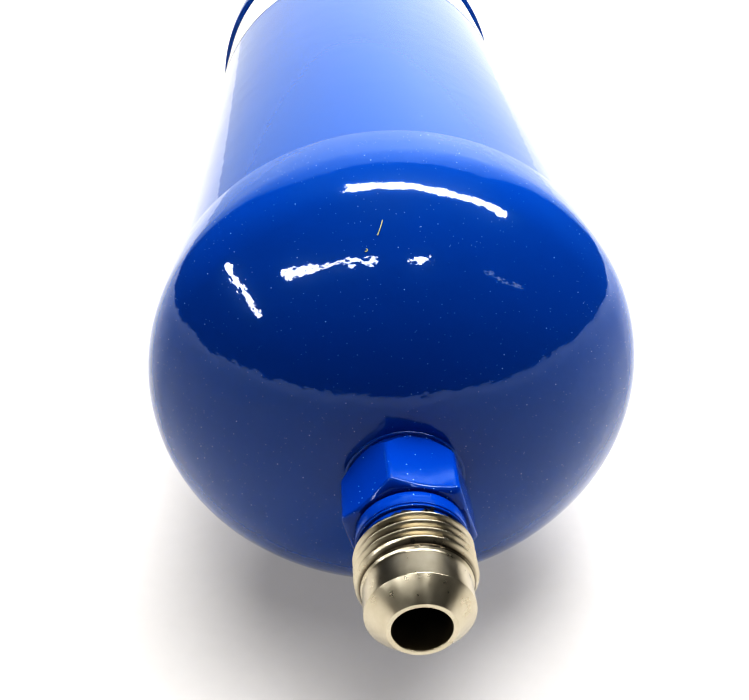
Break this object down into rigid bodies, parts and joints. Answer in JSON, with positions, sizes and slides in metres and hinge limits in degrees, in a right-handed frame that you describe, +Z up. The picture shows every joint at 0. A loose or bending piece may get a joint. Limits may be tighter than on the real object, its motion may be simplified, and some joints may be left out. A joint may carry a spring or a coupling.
{
  "type": "filter drier",
  "caption": "Blue-painted cylindrical liquid-line filter drier with domed end caps, hexagon flare fittings at both ends and a spring-loaded desiccant core inside.",
  "frame": {"origin": "on the axis of the drier, half way between the two ends", "axes": "+Y along the axis from the inlet to the outlet, +Z up as it lies, +X to the right seen from the inlet"},
  "size_m": [0.0786, 0.2706, 0.0786],
  "materials": {
    "blue_paint": "high gloss enamel on steel",
    "nickel_plate": "turned and plated, painted blue from the hexagon to the first thread",
    "spring_steel": "drawn wire",
    "plated_sheet": "pressed zinc-plated sheet",
    "screen_wire": "woven wire",
    "felt": "pressed felt",
    "polyester_pad": "needled polyester",
    "desiccant": "moulded molecular sieve and alumina"
  },
  "bodies": {
    "root": {"shell_tube": "blue_paint", "inlet_end_cap": "blue_paint", "outlet_end_cap": "blue_paint", "inlet_lap_weld": "blue_paint", "outlet_lap_weld": "blue_paint", "inlet_fitting_weld": "blue_paint", "outlet_fitting_weld": "blue_paint", "inlet_flare_fitting": "nickel_plate", "outlet_flare_fitting": "nickel_plate", "core_spring": "spring_steel", "spring_seat_plate": "plated_sheet", "perforated_plate": "plated_sheet", "mesh_screen": "screen_wire", "inlet_felt_pad": "felt", "core_seal_ring": "felt", "filter_pad": "polyester_pad", "desiccant_core": "desiccant"}
  },
  "joints": []
}
